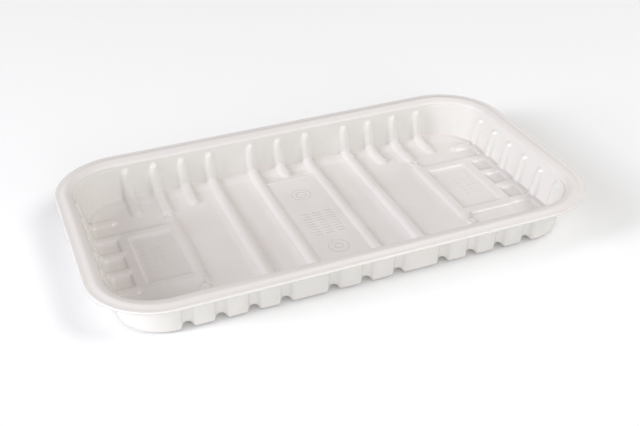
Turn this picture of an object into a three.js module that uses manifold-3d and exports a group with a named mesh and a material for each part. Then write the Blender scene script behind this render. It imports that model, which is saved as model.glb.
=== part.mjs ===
import * as THREE from 'three';
import { mergeVertices } from 'three/addons/utils/BufferGeometryUtils.js';
import Module from 'manifold-3d';

// An empty food tray, thermoformed in one piece from glossy white plastic sheet.
// It stands level with its length along X, its width along Y and its rim up (+Z).
// The origin is the middle of the underside. All sizes are in millimetres.

const wasm = await Module();
wasm.setup();

// Outline of the rim, and the sheet that the tray is formed from
const rimLength = 270;
const rimWidth = 154.6;
const rimCornerRadius = 36.7;
const sheet = 0.6;
const cornerSteps = 8;

// Section of the rim: insets from its outer edge and heights of its upper face
const ridgeHeight = 23.9;
const ridgeInset = 5.4;
const ridgeSpan = 1;
const ridgeRound = 0.1;
const lipFootHeight = 22.3;
const lipHeight = 23.4;
const lipRound = 0.6;
const longBandInset = 9.4;
const shortBandInset = 8.4;
const bandHeight = 23.1;
const wallTopHeight = 22;
const shoulderRound = 0.3;

// Inner faces of the long and the short walls: the inset of their foot, and how far they lean
// out for each unit up. They stand on a band that slopes down to the floor, to its inset bandEnd.
const footRise = 1;
const footTop = sheet + footRise;
const footRound = 0.7;
const longWall = { footInset: 13.2, lean: 0.112, bandEnd: 22 };
const shortWall = { footInset: 13.2, lean: 0.19, bandEnd: 17.2 };

// Ledge in the corners: below it the corner is rounder, so the wall steps in
const ledgeHeight = 20.8;
const ledgeDrop = 0.4;
const ledgeCornerGain = 1.8;

// Ribs pressed in from below and from outside, half round and hollow
const ribHalfWidth = 3.4;
const ribRise = 1.9;
const ribBend = 1.3;
const ribDepth = 4;
const longWallRibTop = 19.3;
const shortWallRibTop = 18.7;

// The ribs' bodies stand on the sheet, and their hollows lie one sheet further in.
// The ends are the shares of the half width, from a rib's tip, where its round end has a section.
const ribBodies = { shrink: 0, arcSteps: 4, bendSteps: 3, ends: [0.04, 0.35, 1] };
const ribHollows = { shrink: sheet, arcSteps: 4, bendSteps: 2, ends: [0.05, 0.4, 1] };

// Pitches of the ribs: along X in three groups, and along Y on the short walls
const middleRibPitch = 17.7;
const ribGroupGap = 25.2;
const sideRibPitch = 16.5;
const shortWallRibPitch = 16.8;

// The rows of ribs on a short wall, in pitches to either side of the middle.
// The outer rows stand where the corner begins, so there the wall lies a little further in.
const innerRow = 0.5;
const frameRow = 1.5;
const cornerRow = 2.5;
const cornerRowStep = 0.6;

// How near the centre lines the ribs reach along the floor
const shortRibReach = 41;
const middleRibReach = 48.5;
const dimpledRibReach = 36;
const middleBarReach = 39;
const cornerRibReach = 104.5;

// Low bars that frame a panel at each end, and the raised panel in the middle
const barRise = 1.4;
const barHalfWidth = 3.1;
const barOverrun = 2;
const endBarX = 105.5;
const middlePanelHalfLength = 15.5;
const middlePanelHalfWidth = 47;
const middlePanelRise = 1;

// How far a hollow's cut runs past the underside, and how near two points of a solid are one
const cutOverrun = 1;
const mergeDistance = 0.0001;

const halfLength = rimLength / 2;
const halfWidth = rimWidth / 2;
const outerMiddleRibX = middleRibPitch + ribGroupGap;
const dimpledRibX = outerMiddleRibX + 2 * sideRibPitch;
const frameHalfWidth = frameRow * shortWallRibPitch;

// Skins a run of rings, each with the same number of corners, and closes both ends.
// Seen from before its start the run's rings turn counter-clockwise.
function loft(rings, startCentre, endCentre) {
  const count = rings[0].length;
  const positions = [...rings.flat(2), ...startCentre, ...endCentre];
  const startIndex = rings.length * count;
  const endIndex = startIndex + 1;
  const lastRing = startIndex - count;
  const triangles = [];
  for (let corner = 0; corner < count; corner += 1) {
    const next = (corner + 1) % count;
    triangles.push(startIndex, corner, next);
    for (let here = 0; here < lastRing; here += count) {
      const there = here + count;
      triangles.push(here + corner, there + corner, there + next);
      triangles.push(here + corner, there + next, here + next);
    }
    triangles.push(endIndex, lastRing + next, lastRing + corner);
  }
  const geometry = new THREE.BufferGeometry();
  geometry.setAttribute('position', new THREE.Float32BufferAttribute(positions, 3));
  geometry.setIndex(triangles);
  return geometry;
}

// Turns a closed geometry into a solid that can be joined and cut
function solidOf(source) {
  const bare = source.clone();
  bare.deleteAttribute('normal');
  bare.deleteAttribute('uv');
  const geometry = mergeVertices(bare, mergeDistance);
  return new wasm.Manifold(new wasm.Mesh({
    numProp: 3,
    vertProperties: new Float32Array(geometry.attributes.position.array),
    triVerts: new Uint32Array(geometry.index.array),
  }));
}

function geometryOf(solid) {
  const mesh = solid.getMesh();
  const geometry = new THREE.BufferGeometry();
  geometry.setAttribute('position', new THREE.BufferAttribute(mesh.vertProperties, 3));
  geometry.setIndex(new THREE.BufferAttribute(mesh.triVerts, 1));
  geometry.computeVertexNormals();
  return geometry;
}

function join(solids) {
  return solids.reduce((whole, solid) => whole.add(solid));
}

// A level rounded rectangle, inset from the rim's outer edge by so much along the long sides
// and at the ends, its corners rounder by gain
function outlineRing({ inset, endInset, z, gain = 0 }) {
  const cornerX = halfLength - rimCornerRadius - gain;
  const cornerY = halfWidth - rimCornerRadius - gain;
  const radiusX = rimCornerRadius + gain - endInset;
  const radiusY = rimCornerRadius + gain - inset;
  const points = [];
  for (let quarter = 0; quarter < 4; quarter += 1) {
    const signX = quarter === 0 || quarter === 3 ? 1 : -1;
    const signY = quarter < 2 ? 1 : -1;
    for (let step = 0; step <= cornerSteps; step += 1) {
      const angle = (quarter + step / cornerSteps) * Math.PI / 2;
      const x = signX * cornerX + radiusX * Math.cos(angle);
      const y = signY * cornerY + radiusY * Math.sin(angle);
      points.push([x, y, z]);
    }
  }
  return points;
}

function wallInset({ footInset, lean }, z) {
  return footInset - lean * (z - footTop);
}

// A point of a face that lies this depth under the upper face of the walls
function wallPoint(z, depth) {
  return {
    inset: wallInset(longWall, z) - depth,
    endInset: wallInset(shortWall, z) - depth,
    z: z - depth,
  };
}

function rimPoint(inset, z) {
  return { inset, endInset: inset, z };
}

function curvePoints(steps, ...corners) {
  const places = corners.map(({ inset, endInset, z }) => new THREE.Vector3(inset, endInset, z));
  const curve = new THREE.QuadraticBezierCurve3(...places);
  return curve.getPoints(steps).map(({ x, y, z }) => ({ inset: x, endInset: y, z }));
}

// Lip, ridge and inner band of the face that lies this depth under the upper face
function rimProfile(depth) {
  const lip = curvePoints(
    2,
    rimPoint(depth, lipHeight - lipRound),
    rimPoint(depth, lipHeight - depth),
    rimPoint(lipRound + depth, lipHeight - depth),
  );
  const ridge = curvePoints(
    2,
    rimPoint(ridgeInset - ridgeSpan, ridgeHeight - ridgeRound - depth),
    rimPoint(ridgeInset, ridgeHeight + ridgeRound - depth),
    rimPoint(ridgeInset + ridgeSpan, ridgeHeight - ridgeRound - depth),
  );
  const band = {
    inset: longBandInset - depth / 2,
    endInset: shortBandInset - depth / 2,
    z: bandHeight - depth,
  };
  const wallTop = wallPoint(wallTopHeight, depth);
  const shoulderCorner = { ...wallTop, z: bandHeight - shoulderRound - depth };
  const shoulder = curvePoints(3, band, shoulderCorner, wallTop);
  return [rimPoint(depth, lipFootHeight), ...lip, ...ridge, ...shoulder];
}

// Ledge, wall, foot band and floor edge of the same face, from the top down
function wallProfile(depth) {
  const bendTop = { ...wallPoint(footTop + footRound, depth), z: footTop + footRound };
  const bendCorner = wallPoint(footTop, depth);
  const bendEnd = {
    inset: longWall.footInset + footRound,
    endInset: shortWall.footInset + footRound,
    z: footTop - depth,
  };
  const bandEnd = { inset: longWall.bandEnd, endInset: shortWall.bandEnd, z: sheet - depth };
  const ledgeFoot = wallPoint(ledgeHeight - ledgeDrop, depth);
  const bend = curvePoints(2, bendTop, bendCorner, bendEnd);
  const lower = [ledgeFoot, ...bend, bandEnd].map((point) => ({ ...point, gain: ledgeCornerGain }));
  return [wallPoint(ledgeHeight, depth), ...lower];
}

// The plain sheet: up the inside, over the rim and back down the outside
function makeSkin() {
  const upperFace = [...rimProfile(0), ...wallProfile(0)].reverse();
  const lowerFace = [...rimProfile(sheet), ...wallProfile(sheet)];
  const rings = [...upperFace, ...lowerFace].map(outlineRing);
  return solidOf(loft(rings, [0, 0, sheet], [0, 0, 0]));
}

// Everything inside the middle of the sheet, up to the ledge, to trim the ribs' backs with
function makeTrim() {
  const depth = sheet / 2;
  const rings = wallProfile(depth).map(outlineRing);
  return solidOf(loft(rings, [0, 0, ledgeHeight - depth], [0, 0, sheet - depth]));
}

// Half-round section of a rib, standing on the upper face of the sheet.
// Ribs are drawn as running in from the wall at +X, so "out" is how far out a section stands.
function ribRing({ out, z, normalX, normalZ, width, rise }, arcSteps) {
  const offsets = [];
  for (let step = 0; step <= arcSteps; step += 1) {
    const angle = Math.PI * step / arcSteps;
    offsets.push([width * Math.cos(angle), rise * Math.sin(angle)]);
  }
  offsets.push([-width, -ribDepth], [width, -ribDepth]);
  return offsets.map(([side, height]) => [out + normalX * height, side, z + normalZ * height]);
}

function ribGeometry(stations, { arcSteps }) {
  const rings = stations.map((station) => ribRing(station, arcSteps));
  const centre = (points) => points[0].map((_, axis) => (
    points.reduce((sum, point) => sum + point[axis], 0) / points.length
  ));
  return loft(rings, centre(rings[0]), centre(rings[rings.length - 1]));
}

function roundEndSize(share) {
  return Math.sqrt(1 - (1 - share) ** 2);
}

// Sections down a wall, from a rib's round top, and round a bend down to this level
function wallStations(wall, footOut, top, level, { shrink, bendSteps, ends }) {
  const width = ribHalfWidth - shrink;
  const rise = ribRise - shrink;
  const slant = Math.hypot(1, wall.lean);
  const normal = { normalX: -1 / slant, normalZ: wall.lean / slant };
  const outAt = (z) => footOut + wall.lean * (z - footTop);
  const down = ends.map((share) => {
    const z = top - shrink - share * ribHalfWidth;
    const size = roundEndSize(share);
    return { ...normal, out: outAt(z), z, width: width * size, rise: rise * size };
  });
  const radius = ribRise + ribBend;
  const pivotOut = outAt(level) + (wall.lean - slant) * radius;
  const pivotZ = level + radius;
  const startAngle = Math.PI - Math.atan(wall.lean);
  const bend = [];
  for (let step = 0; step <= bendSteps; step += 1) {
    const angle = THREE.MathUtils.lerp(startAngle, Math.PI / 2, step / bendSteps);
    const normalX = Math.cos(angle);
    const normalZ = Math.sin(angle);
    bend.push({
      out: pivotOut - normalX * radius,
      z: pivotZ - normalZ * radius,
      normalX,
      normalZ,
      width,
      rise,
    });
  }
  return [...down, ...bend];
}

// Sections of a rib down a long wall and down the foot band to the floor
function longWallStations(form) {
  const footOut = halfWidth - longWall.footInset;
  const stations = wallStations(longWall, footOut, longWallRibTop, footTop, form);
  const onBand = stations[stations.length - 1];
  return [...stations, { ...onBand, out: halfWidth - longWall.bandEnd, z: sheet }];
}

// Sections of a rib down a short wall, which here stands this much further in
function shortWallStations(step, form) {
  const footOut = halfLength - shortWall.footInset - step;
  return wallStations(shortWall, footOut, shortWallRibTop, sheet, form);
}

// Sections along the floor to a round end
function floorEndStations(reach, width, rise, { shrink, ends }) {
  return [...ends].reverse().map((share) => {
    const size = roundEndSize(share);
    return {
      out: reach + shrink + share * width,
      z: sheet,
      normalX: 0,
      normalZ: 1,
      width: (width - shrink) * size,
      rise: (rise - shrink) * size,
    };
  });
}

function mirrored(stations) {
  const turned = stations.map((station) => ({
    ...station,
    out: -station.out,
    normalX: -station.normalX,
  }));
  return turned.reverse();
}

// A rib down one wall and in along the floor to its reach
function shortRib(stations, reach, form) {
  const floorPart = floorEndStations(reach, ribHalfWidth, ribRise, form);
  return ribGeometry([...stations, ...floorPart], form);
}

// A rib down one long wall, straight across the floor and up the other
function fullRib(form) {
  const stations = longWallStations(form);
  return ribGeometry([...stations, ...mirrored(stations)], form);
}

// A low bar on the floor between two places
function floorBar(from, to, form) {
  const start = floorEndStations(-from, barHalfWidth, barRise, form);
  const end = floorEndStations(to, barHalfWidth, barRise, form);
  return ribGeometry([...mirrored(start), ...end], form);
}

// All ribs and bars, as bodies or as hollows
function makeRibs(form) {
  const shapes = [];
  const towardBack = Math.PI / 2;

  for (const x of [-outerMiddleRibX, -middleRibPitch, middleRibPitch, outerMiddleRibX]) {
    shapes.push(fullRib(form).rotateZ(towardBack).translate(x, 0, 0));
  }

  const partRibs = [{ x: 0, reach: middleRibReach }];
  for (const sign of [-1, 1]) {
    partRibs.push({ x: sign * (outerMiddleRibX + sideRibPitch), reach: shortRibReach });
    partRibs.push({ x: sign * dimpledRibX, reach: dimpledRibReach });
    partRibs.push({ x: sign * (dimpledRibX + sideRibPitch), reach: shortRibReach });
    const middleBar = floorBar(middleBarReach, -middleBarReach, form);
    shapes.push(middleBar.rotateZ(towardBack).translate(sign * dimpledRibX, 0, 0));
    const endBar = floorBar(frameHalfWidth + barOverrun, -frameHalfWidth - barOverrun, form);
    shapes.push(endBar.rotateZ(towardBack).translate(sign * endBarX, 0, 0));
  }
  for (const { x, reach } of partRibs) {
    for (const wall of [towardBack, -towardBack]) {
      const rib = shortRib(longWallStations(form), reach, form);
      shapes.push(rib.rotateZ(wall).translate(x, 0, 0));
    }
  }

  const endRibs = [
    { row: innerRow, step: 0, reach: endBarX },
    { row: frameRow, step: 0, reach: endBarX },
    { row: cornerRow, step: cornerRowStep, reach: cornerRibReach },
  ];
  for (const wall of [0, Math.PI]) {
    for (const sign of [-1, 1]) {
      for (const { row, step, reach } of endRibs) {
        const rib = shortRib(shortWallStations(step, form), reach, form);
        shapes.push(rib.rotateZ(wall).translate(0, sign * row * shortWallRibPitch, 0));
      }
      const frameBar = floorBar(endBarX + barOverrun, dimpledRibX - barOverrun, form);
      shapes.push(frameBar.rotateZ(wall).translate(0, sign * frameHalfWidth, 0));
    }
  }
  return join(shapes.map(solidOf));
}

// The middle panel between the two inner full ribs, or the hollow under it
function makeMiddlePanel(shrink) {
  const top = sheet + middlePanelRise - shrink;
  const bottom = shrink > 0 ? -cutOverrun : sheet / 2;
  const panel = new THREE.BoxGeometry(
    2 * middlePanelHalfLength,
    2 * (middlePanelHalfWidth - shrink),
    top - bottom,
  );
  panel.translate(0, 0, (top + bottom) / 2);
  return solidOf(panel);
}

function makeTray() {
  const ribs = makeRibs(ribBodies).intersect(makeTrim());
  const hollows = makeRibs(ribHollows).add(makeMiddlePanel(sheet));
  return makeSkin().add(ribs).add(makeMiddlePanel(0)).subtract(hollows);
}

const whitePlastic = new THREE.MeshStandardMaterial({
  color: '#f2f0ed',
  roughness: 0.28,
  metalness: 0,
});
const tray = new THREE.Mesh(geometryOf(makeTray()), whitePlastic);
tray.name = 'tray';

const model = new THREE.Group();
model.add(tray);

export default model;
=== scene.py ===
import math

import bmesh
import bpy
from mathutils import Matrix, Vector


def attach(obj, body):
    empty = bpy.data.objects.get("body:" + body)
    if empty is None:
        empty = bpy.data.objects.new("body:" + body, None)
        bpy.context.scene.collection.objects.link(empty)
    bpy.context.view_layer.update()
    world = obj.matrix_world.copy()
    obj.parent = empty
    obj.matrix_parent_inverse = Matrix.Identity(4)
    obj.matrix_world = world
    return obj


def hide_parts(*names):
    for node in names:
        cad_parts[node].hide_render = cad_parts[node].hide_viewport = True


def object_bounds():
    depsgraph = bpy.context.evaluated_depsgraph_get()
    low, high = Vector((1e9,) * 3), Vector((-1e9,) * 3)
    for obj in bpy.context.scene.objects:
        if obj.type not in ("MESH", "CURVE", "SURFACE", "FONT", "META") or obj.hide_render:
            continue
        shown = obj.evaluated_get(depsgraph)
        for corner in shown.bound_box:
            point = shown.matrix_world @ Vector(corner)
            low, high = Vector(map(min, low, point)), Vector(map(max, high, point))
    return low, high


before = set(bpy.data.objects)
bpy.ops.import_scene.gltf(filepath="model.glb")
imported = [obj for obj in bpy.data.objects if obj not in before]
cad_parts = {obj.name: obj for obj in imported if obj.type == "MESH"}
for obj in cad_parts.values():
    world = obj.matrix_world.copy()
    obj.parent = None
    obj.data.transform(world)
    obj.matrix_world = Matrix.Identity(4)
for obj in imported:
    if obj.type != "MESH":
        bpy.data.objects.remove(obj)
cad_low, cad_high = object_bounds()

# Camera.
# The photograph is taken from above the tray's front left corner with a short telephoto lens.
# Its place and turn were solved from the outline of the rim and the ends of the ribs.
view_azimuth = math.radians(-21.151)
view_elevation = math.radians(32.208)
view_roll = math.radians(-1.252)
view_distance = 0.5215
view_target = Vector((-0.0031, -0.0091, 0.0110))
image_width = 640
focal_length_pixels = 963.4
sensor_width = 36

camera_data = bpy.data.cameras.new("photo_camera")
camera_data.sensor_fit = "HORIZONTAL"
camera_data.sensor_width = sensor_width
camera_data.lens = focal_length_pixels / image_width * sensor_width
photo_camera = bpy.data.objects.new("photo_camera", camera_data)
bpy.context.collection.objects.link(photo_camera)
bpy.context.scene.camera = photo_camera

toward_camera = Vector((
    math.sin(view_azimuth) * math.cos(view_elevation),
    -math.cos(view_azimuth) * math.cos(view_elevation),
    math.sin(view_elevation),
))
level_right = Vector((0, 0, 1)).cross(toward_camera).normalized()
turn = Matrix.Rotation(view_roll, 3, toward_camera)
camera_right = turn @ level_right
camera_up = turn @ toward_camera.cross(level_right)
photo_camera.matrix_world = Matrix.Translation(view_target + toward_camera * view_distance) @ Matrix((
    camera_right,
    camera_up,
    toward_camera,
)).transposed().to_4x4()


# Formed sheet.
# The tray is one sheet of white plastic, softened and drawn over a mould, so floor, ribs, walls
# and rim run into each other with soft bends, and every rib is hollow from outside and below.
half_length = cad_high.x
half_width = cad_high.y
sheet_thickness = 0.0006
rim_corner_radius = 0.0367
foot_rise = 0.0010
foot_top = sheet_thickness + foot_rise
foot_bend = 0.0007
long_foot_inset = 0.0132
long_lean = 0.112
short_foot_inset = 0.0132
short_lean = 0.19
lower_corner_gain = 0.0018
corner_x = half_length - rim_corner_radius
corner_y = half_width - rim_corner_radius
floor_corner_x = corner_x - lower_corner_gain
floor_corner_y = corner_y - lower_corner_gain
floor_edge_x = half_length - short_foot_inset - foot_bend
floor_edge_y = half_width - long_foot_inset - foot_bend
floor_radius_x = floor_edge_x - floor_corner_x
floor_radius_y = floor_edge_y - floor_corner_y

rib_half_width = 0.0034
wall_rib_tip_half_width = 0.0023
wall_rib_tip_length = 0.0080
rib_rise = 0.0019
rib_bend = 0.0016
long_wall_rib_depth = 0.0026
short_wall_rib_depth = 0.0024
wall_rib_tip_depth = 0.0014
long_wall_rib_top = 0.0193
short_wall_rib_top = 0.0187
middle_ribs = (0.0177, 0.0429)
side_rib_pitch = 0.0165
short_wall_rib_rows = (0.0084, 0.0252, 0.0420)
bar_half_width = 0.0032
bar_rise = 0.0014
end_bar_x = 0.1053
dimpled_rib_x = middle_ribs[1] + 2 * side_rib_pitch
frame_half_width = short_wall_rib_rows[1]
dimple_y = 0.0355

# How near the tray's long centre line each rib of a long wall comes, by its place along X
rib_reach = {
    0.0: 0.0512,
    middle_ribs[0]: None,
    middle_ribs[1]: None,
    middle_ribs[1] + side_rib_pitch: 0.0425,
    dimpled_rib_x: 0.0375,
    dimpled_rib_x + side_rib_pitch: 0.0425,
}
corner_rib_reach = 0.1045


def line_places(centres, extra_places, limit, edge_zone, edge_gap, inner_gap):
    """Places of the grid's lines: close over each rib, less close near the edge, wide elsewhere."""
    across_rib = (0, 0.0011, 0.0020, 0.0027, 0.0033, 0.0040)
    places = {-limit, limit}
    for place in extra_places:
        places.update((place, -place))
    for centre in centres:
        for offset in across_rib:
            places.update((round(centre + offset, 5), round(centre - offset, 5)))
            places.update((round(-centre + offset, 5), round(-centre - offset, 5)))
    placed = sorted(places)
    filled = [placed[0]]
    for place in placed[1:]:
        start = filled[-1]
        gap = edge_gap if abs(start + place) / 2 > edge_zone else inner_gap
        steps = max(1, math.ceil((place - start) / gap - 0.001))
        filled += [start + (place - start) * step / steps for step in range(1, steps + 1)]
    return filled


# Lines of the grid lie closer where the floor changes height: at the panel's ends, along the band,
# round the dimples and at the foot of the short walls
middle_panel_half_width = 0.0470
panel_end_rows = [middle_panel_half_width + step for step in (-0.0015, -0.0009, -0.0003, 0.0003, 0.0009)]
band_rows = [floor_edge_y - step for step in (0.0052, 0.0065, 0.0078)]
dimple_steps = (-0.0023, -0.0017, -0.0011, -0.0005, 0.0005, 0.0011, 0.0017, 0.0023)
dimple_columns = [dimpled_rib_x + step for step in (-0.0017, -0.0006, 0.0006, 0.0017)]
foot_columns = [floor_edge_x - step for step in (0.0011, 0.0022, 0.0026, 0.0031, 0.0036)]
dimple_rows = [dimple_y + step for step in dimple_steps]
columns = line_places(
    list(rib_reach) + [end_bar_x],
    dimple_columns + foot_columns,
    limit=floor_edge_x,
    edge_zone=0.095,
    edge_gap=0.0020,
    inner_gap=0.0064,
)
rows = line_places(
    short_wall_rib_rows,
    dimple_rows + panel_end_rows + band_rows,
    limit=floor_edge_y,
    edge_zone=0.048,
    edge_gap=0.0014,
    inner_gap=0.0042,
)

bpy.ops.object.select_all(action="DESELECT")
bpy.ops.mesh.primitive_grid_add(x_subdivisions=len(columns) - 1, y_subdivisions=len(rows) - 1, size=2)
tray_sheet = bpy.context.object
tray_sheet.name = "tray_sheet"


def smooth_step(value, start, end):
    """How far a value is from start to end, eased at both, from 0 to 1."""
    share = min(1, max(0, (value - start) / (end - start)))
    return share * share * (3 - 2 * share)


def round_corner(x, y):
    """Draws the square corners of the grid in onto the curves of the floor's outline."""
    along = (abs(x) - floor_corner_x) / floor_radius_x
    across = (abs(y) - floor_corner_y) / floor_radius_y
    if along <= 0 or across <= 0:
        return x, y
    reach = max(along, across)
    angle = math.pi / 4 * (across / along if along >= across else 2 - along / across)
    arc_x = floor_corner_x + reach * floor_radius_x * math.cos(angle)
    arc_y = floor_corner_y + reach * floor_radius_y * math.sin(angle)
    return math.copysign(arc_x, x), math.copysign(arc_y, y)


band_step_rise = 0.0005
band_step_foot = 0.0078
band_step_top = 0.0052
band_slope_reach = 0.0050
band_slope = 0.05
band_fillet_reach = 0.0021
band_fillet_radius = 0.0088
end_step_rise = 0.0008
end_step_foot = 0.0036
end_step_top = 0.0022
end_slope_rise = 0.0002


def band_height(x, y):
    """Height of the band that the walls stand on: wide by the long walls, a short step by the ends."""
    along = max(0, abs(x) - floor_corner_x) / floor_radius_x
    across = max(0, abs(y) - floor_corner_y) / floor_radius_y
    reach = math.hypot(along, across)
    if reach == 0:
        return 0.0
    end_share = (along / reach) ** 2
    from_edge = (1 - reach) * (floor_radius_x * end_share + floor_radius_y * (1 - end_share))
    step = band_step_rise * smooth_step(from_edge, band_step_foot, band_step_top)
    slope = band_slope * max(0, band_slope_reach - from_edge)
    fillet = max(0, band_fillet_reach - from_edge) ** 2 / (2 * band_fillet_radius)
    end_step = end_step_rise * smooth_step(from_edge, end_step_foot, end_step_top)
    end_slope = end_slope_rise * smooth_step(from_edge, end_step_top, 0)
    return end_share * (end_step + end_slope) + (1 - end_share) * (step + slope + fillet)


for vertex in tray_sheet.data.vertices:
    column = round((vertex.co.x + 1) / 2 * (len(columns) - 1))
    row = round((vertex.co.y + 1) / 2 * (len(rows) - 1))
    x, y = round_corner(columns[column], rows[row])
    vertex.co = x, y, sheet_thickness + band_height(x, y)


def curve_points(steps, start, corner, end):
    """Points after start on the soft bend from start past corner to end."""
    points = []
    for step in range(1, steps + 1):
        share = step / steps
        weights = ((1 - share) ** 2, 2 * share * (1 - share), share ** 2)
        points.append(tuple(
            sum(weight * value for weight, value in zip(weights, values))
            for values in zip(start, corner, end)
        ))
    return points


def wall_point(z, gain=0.0):
    """Insets of the long and the short walls at a height, with how much rounder the corners are."""
    up_wall = z - foot_top
    return long_foot_inset - long_lean * up_wall, short_foot_inset - short_lean * up_wall, z, gain


def rim_point(inset, z):
    """Inset and height of the rim, where both are the same on all four sides."""
    return inset, inset, z, 0.0


# Rings of the wall and rim, each with its insets from the rim's edge along the long sides and at
# the ends, its height, and how much rounder its corners are
ledge_foot = 0.0203
ledge_top = 0.0208
wall_top = 0.0220
wall_heights = (
    0.0032,
    0.0044,
    0.0062,
    0.0086,
    0.0110,
    0.0134,
    0.0148,
    0.0158,
    0.0167,
    0.0175,
    0.0182,
    0.0188,
    0.0194,
)
floor_ring = (half_width - floor_edge_y, half_length - floor_edge_x, foot_top, lower_corner_gain)
rings = curve_points(
    4,
    floor_ring,
    (long_foot_inset, short_foot_inset, foot_top, lower_corner_gain),
    wall_point(foot_top + foot_bend, lower_corner_gain),
)
rings += [wall_point(z, lower_corner_gain) for z in (*wall_heights, ledge_foot)]
ledge_shares = (0.97, 0.75, 0.25, 0.03, 0.0)
for step, share in enumerate(ledge_shares):
    z = ledge_foot + (ledge_top - ledge_foot) * (step + 1) / len(ledge_shares)
    rings.append(wall_point(z, lower_corner_gain * share))
rings.append(wall_point(wall_top))

# The shoulder bends out to the flange, which climbs to a round ridge, dips, and ends in a lip that
# turns down
shoulder_corner = (*wall_point(wall_top)[:2], 0.0228, 0.0)
shoulder_end = (0.0094, 0.0084, 0.0231, 0.0)
flange_middle = (0.0078, 0.0074, 0.02345, 0.0)
rings += curve_points(5, wall_point(wall_top), shoulder_corner, shoulder_end)
rings.append(flange_middle)
rings += curve_points(4, rim_point(0.0065, 0.0238), rim_point(0.0054, 0.0240), rim_point(0.0044, 0.0238))
rings += [rim_point(0.0034, 0.02355), rim_point(0.0024, 0.0234), rim_point(0.0016, 0.0234)]
rings += curve_points(5, rim_point(0.0008, 0.0235), rim_point(0.0, 0.0235), rim_point(0.0, 0.0229))
rings.append(rim_point(0.0, 0.0223))


def next_place(x, y, ring, next_ring):
    """Moves a point of one ring straight out, or in, to the next ring."""
    inset, end_inset, _, gain = ring
    next_inset, next_end_inset, _, next_gain = next_ring
    across = (abs(y) - corner_y + gain) / (rim_corner_radius - inset + gain)
    along = (abs(x) - corner_x + gain) / (rim_corner_radius - end_inset + gain)
    if across > 0 and along > 0:
        angle = math.atan2(across, along)
        next_x = corner_x - next_gain + (rim_corner_radius - next_end_inset + next_gain) * math.cos(angle)
        next_y = corner_y - next_gain + (rim_corner_radius - next_inset + next_gain) * math.sin(angle)
        return math.copysign(next_x, x), math.copysign(next_y, y)
    if across > along:
        return x, math.copysign(half_width - next_inset, y)
    return math.copysign(half_length - next_end_inset, x), y


bpy.ops.object.mode_set(mode="EDIT")
bpy.ops.mesh.select_mode(type="EDGE")
bpy.ops.mesh.select_all(action="DESELECT")
bpy.ops.mesh.select_non_manifold()
ring = floor_ring
for next_ring in rings:
    bpy.ops.mesh.extrude_edges_move(TRANSFORM_OT_translate={"value": (0, 0, 0)})
    sheet_mesh = bmesh.from_edit_mesh(tray_sheet.data)
    for vertex in sheet_mesh.verts:
        if vertex.select:
            vertex.co = *next_place(vertex.co.x, vertex.co.y, ring, next_ring), next_ring[2]
    ring = next_ring
bmesh.update_edit_mesh(tray_sheet.data)
bpy.ops.object.mode_set(mode="OBJECT")


rib_fullness = 2.1
bar_fullness = 5


def soft_round(offset, fullness):
    """Height of a rib, as a share of its rise, at an offset given as a share of its half width.

    It is round on top, and from 0.93 of its half width out it runs softly into the sheet.
    """
    side = 0.93
    foot = 1.12
    if offset >= foot:
        return 0.0
    if offset <= side:
        return (1 - offset ** fullness) ** (1 / fullness)
    height = (1 - side ** fullness) ** (1 / fullness)
    slope = -(side / height) ** (fullness - 1) * (foot - side)
    share = (offset - side) / (foot - side)
    return (2 * share ** 3 - 3 * share ** 2 + 1) * height + (share ** 3 - 2 * share ** 2 + share) * slope


long_wall = (long_foot_inset, long_lean, long_wall_rib_depth, long_wall_rib_top)
short_wall = (short_foot_inset, short_lean, short_wall_rib_depth, short_wall_rib_top)


def rib_crest(wall, level, inset, z):
    """Where a rib's crest lies over a point of the wall or floor, with its soft bend down to a level.

    The crest leans out more than its wall, so a rib stands deepest at the wall's foot.
    """
    foot_inset, lean, depth, rib_top = wall
    crest_lean = lean + (depth - wall_rib_tip_depth) / (rib_top - foot_top)
    slant = math.hypot(1, crest_lean)
    pivot_z = level + rib_rise + rib_bend
    pivot_inset = foot_inset + depth - crest_lean * (pivot_z - foot_top) + slant * rib_bend
    bend_end_z = pivot_z - crest_lean / slant * rib_bend
    if z >= bend_end_z:
        return foot_inset + depth - crest_lean * (z - foot_top), z
    if inset >= pivot_inset:
        return inset, z + rib_rise
    bend_end_inset = foot_inset - lean * (bend_end_z - foot_top)
    share = (pivot_inset - inset + z - level) / (pivot_inset - bend_end_inset + bend_end_z - level)
    angle = max(0, share) * (math.pi / 2 - math.atan(crest_lean))
    return pivot_inset - rib_bend * math.sin(angle), pivot_z - rib_bend * math.cos(angle)


def rib_strength(side, place, z, top, reach):
    """How fully a rib stands at a point: side is off its line, place is out from the centre."""
    near_top = smooth_step(z, top - wall_rib_tip_length, top)
    half_width_here = rib_half_width + near_top * (wall_rib_tip_half_width - rib_half_width)
    past_top = max(0, z - (top - wall_rib_tip_half_width))
    past_tip = 0 if reach is None else max(0, reach + rib_half_width - place)
    return soft_round(math.hypot(side, past_top, past_tip) / half_width_here, rib_fullness)


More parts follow.
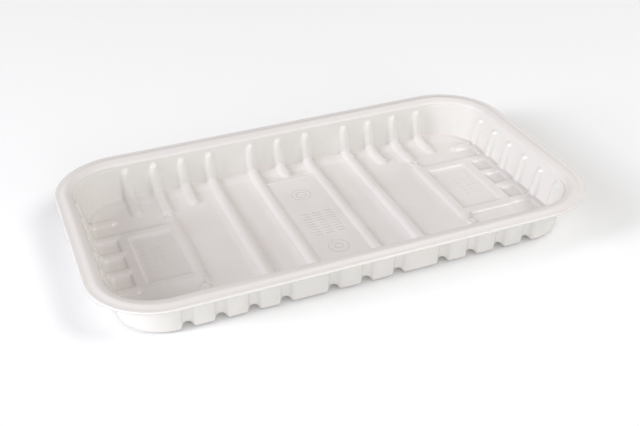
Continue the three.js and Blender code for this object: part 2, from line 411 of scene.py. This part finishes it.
def add_ribs(point):
    """Raises the point onto the ribs of the long walls and of the short walls."""
    x, y, z = point
    strength = 0.0
    for rib_x, reach in rib_reach.items():
        side = abs(abs(x) - rib_x)
        if side < 2 * rib_half_width:
            strength = max(strength, rib_strength(side, abs(y), z, long_wall_rib_top, reach))
    if strength > 0:
        inset = half_width - abs(y)
        crest_inset, crest_z = rib_crest(long_wall, foot_top, inset, z)
        new_inset = inset + strength * (crest_inset - inset)
        return Vector((x, math.copysign(half_width - new_inset, y), z + strength * (crest_z - z)))
    for rib_y in short_wall_rib_rows:
        side = abs(abs(y) - rib_y)
        reach = corner_rib_reach if rib_y == short_wall_rib_rows[2] else end_bar_x
        if side < 2 * rib_half_width:
            strength = max(strength, rib_strength(side, abs(x), z, short_wall_rib_top, reach))
    inset = half_length - abs(x)
    crest_inset, crest_z = rib_crest(short_wall, sheet_thickness, inset, z)
    new_inset = inset + strength * (crest_inset - inset)
    return Vector((math.copysign(half_length - new_inset, x), y, z + strength * (crest_z - z)))


def bar_height(along, start, end, side, rise=bar_rise, half_size=bar_half_width, fullness=bar_fullness):
    """Height of a low bar with round ends at a point beside its line or past its ends."""
    past = max(0, start - along, along - end)
    return rise * soft_round(math.hypot(side, past) / half_size, fullness)


middle_bar_rise = 0.0016
middle_bar_end = 0.0335
middle_panel_rise = 0.0010
panel_edge_foot = 0.0009
panel_edge_top = -0.0003
panel_lip_rise = 0.0004
panel_lip_inset = 0.0004
panel_lip_half_width = 0.0012
boss_rise = 0.0012
boss_foot_radius = 0.0029
boss_top_radius = 0.0019
dimple_radius = 0.0017
dimple_bottom_radius = 0.0006


def floor_relief(x, y):
    """Height of the low forms on the floor: panel frames, middle bars, dimpled bosses, middle panel."""
    far_x, far_y = abs(x), abs(y)
    bar_side = abs(far_x - dimpled_rib_x)
    bar_end = middle_bar_end - rib_half_width
    relief = max(
        bar_height(far_y, 0, frame_half_width, abs(far_x - end_bar_x)),
        bar_height(far_x, dimpled_rib_x, end_bar_x, abs(far_y - frame_half_width)),
        bar_height(far_y, 0, bar_end, bar_side, middle_bar_rise, rib_half_width, rib_fullness),
    )
    from_dimple = math.hypot(bar_side, far_y - dimple_y)
    boss = smooth_step(from_dimple, boss_foot_radius, boss_top_radius)
    dimple = smooth_step(from_dimple, dimple_radius, dimple_bottom_radius)
    relief = max(relief, boss_rise * (boss - dimple))
    if far_x < middle_ribs[0]:
        past_end = far_y - middle_panel_half_width
        edge = smooth_step(past_end, panel_edge_foot, panel_edge_top)
        lip = smooth_step(abs(past_end + panel_lip_inset), panel_lip_half_width, 0)
        relief = max(relief, middle_panel_rise * edge + panel_lip_rise * lip)
    return relief


for vertex in tray_sheet.data.vertices:
    plain = vertex.co.copy()
    if plain.z < ledge_foot:
        vertex.co = add_ribs(plain)
    if abs(plain.x) <= floor_edge_x and plain.z < foot_top:
        vertex.co.z = max(vertex.co.z, plain.z + floor_relief(plain.x, plain.y))

bpy.ops.object.shade_smooth()
thickness = tray_sheet.modifiers.new("sheet_thickness", "SOLIDIFY")
thickness.thickness = sheet_thickness
thickness.offset = -1
bpy.ops.object.modifier_apply(modifier=thickness.name)


def new_group(name, outputs):
    """A shader node group without inputs, and its output node; outputs holds names and socket types."""
    group = bpy.data.node_groups.new(name, "ShaderNodeTree")
    for output_name, socket_type in outputs:
        group.interface.new_socket(output_name, in_out="OUTPUT", socket_type=socket_type)
    return group, group.nodes.new("NodeGroupOutput")


def calculate(tree, operation, *values):
    """Adds a math node; each value is a number or another node's output."""
    node = tree.nodes.new("ShaderNodeMath")
    node.operation = operation
    for socket, value in zip(node.inputs, values):
        if isinstance(value, (int, float)):
            socket.default_value = value
        else:
            tree.links.new(value, socket)
    return node.outputs["Value"]


def remap(tree, value, from_low, from_high, to_low=0.0, to_high=1.0):
    """Adds a soft map of a value from one range to another."""
    node = tree.nodes.new("ShaderNodeMapRange")
    node.interpolation_type = "SMOOTHSTEP"
    tree.links.new(value, node.inputs["Value"])
    node.inputs["From Min"].default_value = from_low
    node.inputs["From Max"].default_value = from_high
    node.inputs["To Min"].default_value = to_low
    node.inputs["To Max"].default_value = to_high
    return node.outputs["Result"]


def mix_colours(tree, share, first, second):
    """Adds a mix of two colours, each a tuple or another node's output."""
    node = tree.nodes.new("ShaderNodeMix")
    node.data_type = "RGBA"
    tree.links.new(share, node.inputs["Factor"])
    for socket, colour in ((node.inputs["A"], first), (node.inputs["B"], second)):
        if isinstance(colour, tuple):
            socket.default_value = (*colour, 1)
        else:
            tree.links.new(colour, socket)
    return node.outputs["Result"]


def place_in_object(tree):
    """Adds the object's own coordinates; returns the whole place and its X, Y and Z."""
    place = tree.nodes.new("ShaderNodeTexCoord").outputs["Object"]
    parts = tree.nodes.new("ShaderNodeSeparateXYZ")
    tree.links.new(place, parts.inputs["Vector"])
    return place, parts.outputs["X"], parts.outputs["Y"], parts.outputs["Z"]


def noise(tree, place, scale, detail=2.0):
    """Adds a noise texture over a place; returns its value from 0 to 1."""
    node = tree.nodes.new("ShaderNodeTexNoise")
    tree.links.new(place, node.inputs["Vector"])
    node.inputs["Scale"].default_value = scale
    node.inputs["Detail"].default_value = detail
    return node.outputs["Fac"]


# The sheet's colour, with painted light: painted pinker on the floor, greener on the walls and lighter on
# the rim, a tint by height that stands in for the light falling on each part; and faintly cloudy all
# over, its own tone
sheet_tint_and_painted_light, colour_output = new_group("sheet_tint_and_painted_light", [("Color", "NodeSocketColor")])
place, _, _, place_z = place_in_object(sheet_tint_and_painted_light)
# Painted light: these colours differ only as painted warm light on the floor, painted cool light on the
# walls and painted brighter light on the rim
floor_painted_light_colour = (0.745, 0.696, 0.673)
wall_painted_light_colour = (0.736, 0.716, 0.686)
rim_painted_light_colour = (0.763, 0.725, 0.703)
cloud_colour = (0.775, 0.738, 0.715)
# Painted light: these height masks lay the painted light tints onto the floor, the walls and the rim
up_the_wall = remap(sheet_tint_and_painted_light, place_z, 0.0015, 0.0060)
on_the_rim = remap(sheet_tint_and_painted_light, place_z, 0.0215, 0.0230)
tint = mix_colours(sheet_tint_and_painted_light, up_the_wall, floor_painted_light_colour, wall_painted_light_colour)
tint = mix_colours(sheet_tint_and_painted_light, on_the_rim, tint, rim_painted_light_colour)
clouds = remap(sheet_tint_and_painted_light, noise(sheet_tint_and_painted_light, place, 38.0), 0.35, 0.70, 0.0, 0.6)
tint = mix_colours(sheet_tint_and_painted_light, clouds, tint, cloud_colour)
sheet_tint_and_painted_light.links.new(tint, colour_output.inputs["Color"])

# The sheet's gloss: smooth, with duller patches where it touched the mould
sheet_gloss, gloss_output = new_group("sheet_gloss", [("Roughness", "NodeSocketFloat")])
place = place_in_object(sheet_gloss)[0]
smooth_roughness = 0.17
dull_roughness = 0.27
patches = noise(sheet_gloss, place, 60.0, 4.0)
patches = remap(sheet_gloss, patches, 0.35, 0.65, smooth_roughness, dull_roughness)
sheet_gloss.links.new(patches, gloss_output.inputs["Roughness"])

# Relief too shallow to model: the grain of the mould, two plain rings and three columns of short
# bars on the middle panel, and rows of dots on the end panels. The grain counts twice on the floor
sheet_relief, relief_output = new_group("sheet_relief", [("Height", "NodeSocketFloat")])
place, place_x, place_y, place_z = place_in_object(sheet_relief)
grain_height = 0.05
dot_height = 0.6
mark_edge_inside = 0.0002
mark_edge_outside = 0.0003
ring_half_width = 0.0004
grain = calculate(sheet_relief, "MULTIPLY", noise(sheet_relief, place, 420.0, 3.0), grain_height)
relief = grain
plain_rings = (
    (-0.0009, 0.0270, (0.0056, 0.0030)),
    (-0.0009, -0.0295, (0.0056, 0.0021)),
)
for ring_x, ring_y, ring_radii in plain_rings:
    offset_x = calculate(sheet_relief, "SUBTRACT", place_x, ring_x)
    offset_y = calculate(sheet_relief, "SUBTRACT", place_y, ring_y)
    squares = calculate(
        sheet_relief,
        "ADD",
        calculate(sheet_relief, "MULTIPLY", offset_x, offset_x),
        calculate(sheet_relief, "MULTIPLY", offset_y, offset_y),
    )
    from_centre = calculate(sheet_relief, "SQRT", squares)
    for ring_radius in ring_radii:
        off_ring = calculate(sheet_relief, "SUBTRACT", from_centre, ring_radius)
        off_ring = calculate(sheet_relief, "ABSOLUTE", off_ring)
        ring_mask = remap(sheet_relief, off_ring, 0.5 * ring_half_width, 1.5 * ring_half_width, 1.0, 0.0)
        relief = calculate(sheet_relief, "ADD", relief, ring_mask)


def within(value, limit):
    """A mask that is full inside a limit and fades just past it."""
    inside = limit - mark_edge_inside
    return remap(sheet_relief, value, inside, limit + mark_edge_outside, 1.0, 0.0)


def repeated_marks(pitch_x, pitch_y, half_length_x, half_width_y, centre, reach_x, reach_y):
    """A block of equal marks: pitches along X and Y, half sizes, the block's middle and its reach."""
    side = calculate(sheet_relief, "SUBTRACT", calculate(sheet_relief, "ABSOLUTE", place_x), centre[0])
    side = calculate(sheet_relief, "ABSOLUTE", side)
    across = calculate(sheet_relief, "ABSOLUTE", calculate(sheet_relief, "SUBTRACT", place_y, centre[1]))
    from_mark_x = calculate(sheet_relief, "PINGPONG", side, pitch_x / 2)
    from_mark_y = calculate(sheet_relief, "PINGPONG", across, pitch_y / 2)
    mask = within(from_mark_x, half_length_x)
    for value, limit in ((from_mark_y, half_width_y), (side, reach_x), (across, reach_y)):
        mask = calculate(sheet_relief, "MULTIPLY", mask, within(value, limit))
    return mask


bars = repeated_marks(
    pitch_x=0.0068,
    pitch_y=0.0027,
    half_length_x=0.0021,
    half_width_y=0.0005,
    centre=(0.0, -0.0050),
    reach_x=0.0092,
    reach_y=0.0115,
)
dots = repeated_marks(
    pitch_x=0.0042,
    pitch_y=0.0042,
    half_length_x=0.0006,
    half_width_y=0.0006,
    centre=(0.0935, 0.0),
    reach_x=0.0070,
    reach_y=0.0110,
)
relief = calculate(sheet_relief, "ADD", relief, bars)
relief = calculate(sheet_relief, "ADD", relief, calculate(sheet_relief, "MULTIPLY", dots, dot_height))
marks_full_below_z = 0.0024
marks_end_z = 0.0030
floor_only = remap(sheet_relief, place_z, marks_full_below_z, marks_end_z, 1.0, 0.0)
marks_on_floor = calculate(sheet_relief, "MULTIPLY", relief, floor_only)
relief = calculate(sheet_relief, "ADD", marks_on_floor, grain)
sheet_relief.links.new(relief, relief_output.inputs["Height"])

white_plastic = bpy.data.materials.new("white_plastic")
white_plastic.use_nodes = True
plastic_nodes = white_plastic.node_tree.nodes
plastic_links = white_plastic.node_tree.links
plastic = plastic_nodes["Principled BSDF"]
plastic.inputs["IOR"].default_value = 1.49
plastic.inputs["Subsurface Weight"].default_value = 0.2
plastic.inputs["Subsurface Radius"].default_value = (1.0, 0.8, 0.7)
plastic.inputs["Subsurface Scale"].default_value = 0.0015
plastic_parts = {}
for group in (sheet_tint_and_painted_light, sheet_gloss, sheet_relief):
    plastic_parts[group.name] = plastic_nodes.new("ShaderNodeGroup")
    plastic_parts[group.name].node_tree = group
bump = plastic_nodes.new("ShaderNodeBump")
bump.inputs["Strength"].default_value = 0.7
bump.inputs["Distance"].default_value = 0.0004
plastic_links.new(plastic_parts["sheet_relief"].outputs["Height"], bump.inputs["Height"])
plastic_links.new(plastic_parts["sheet_tint_and_painted_light"].outputs["Color"], plastic.inputs["Base Color"])
plastic_links.new(plastic_parts["sheet_gloss"].outputs["Roughness"], plastic.inputs["Roughness"])
plastic_links.new(bump.outputs["Normal"], plastic.inputs["Normal"])
tray_sheet.data.materials.append(white_plastic)
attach(tray_sheet, "root")
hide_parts("tray")


# Stage.
# A plain white table and square softboxes round it: the strongest stand low on the left, the next
# in front on the right and low in front. They are a little cool, and the fill light is warm.
bpy.ops.object.select_all(action="DESELECT")
bpy.ops.mesh.primitive_plane_add(size=12, location=(0, 0, -0.0001))
pale_floor = bpy.context.object
pale_floor.name = "pale_floor"
floor_paper = bpy.data.materials.new("floor_paper")
floor_paper.use_nodes = True
paper = floor_paper.node_tree.nodes["Principled BSDF"]
paper.inputs["Base Color"].default_value = (0.93, 0.93, 0.93, 1)
paper.inputs["Roughness"].default_value = 0.9
paper.inputs["Emission Color"].default_value = (1, 1, 1, 1)
paper.inputs["Emission Strength"].default_value = 0.05
pale_floor.data.materials.append(floor_paper)

softbox_distance = 2.4
softboxes = (
    ("left_softbox", -90, 18, 0.7, 29.0, (0.92, 0.95, 1.0)),
    ("left_high_softbox", -90, 30, 0.7, 13.3, (0.91, 0.93, 1.0)),
    ("left_front_softbox", -60, 30, 0.7, 5.0, (0.75, 0.86, 1.0)),
    ("front_low_softbox", 0, 15, 1.0, 14.9, (0.93, 1.0, 1.0)),
    ("front_high_softbox", 0, 40, 1.0, 3.7, (0.86, 0.92, 1.0)),
    ("front_right_softbox", 45, 50, 1.0, 20.5, (0.98, 1.0, 0.99)),
    ("back_right_softbox", 135, 50, 1.0, 3.0, (1.0, 1.0, 0.9)),
    ("back_right_low_softbox", 135, 25, 1.0, 2.7, (0.97, 0.95, 1.0)),
)
for name, azimuth, elevation, size, power, colour in softboxes:
    azimuth = math.radians(azimuth)
    elevation = math.radians(elevation)
    toward_light = Vector((
        math.sin(azimuth) * math.cos(elevation),
        -math.cos(azimuth) * math.cos(elevation),
        math.sin(elevation),
    ))
    light = bpy.data.lights.new(name, "AREA")
    light.shape = "SQUARE"
    light.size = size
    light.energy = power
    light.color = colour
    softbox = bpy.data.objects.new(name, light)
    softbox.location = toward_light * softbox_distance
    softbox.rotation_euler = toward_light.to_track_quat("Z", "Y").to_euler()
    bpy.context.collection.objects.link(softbox)

studio = bpy.data.worlds.new("studio")
studio.use_nodes = True
studio.node_tree.nodes["Background"].inputs["Color"].default_value = (1.0, 0.926, 0.904, 1)
studio.node_tree.nodes["Background"].inputs["Strength"].default_value = 0.315
bpy.context.scene.world = studio
bpy.context.scene.view_settings.view_transform = "Standard"
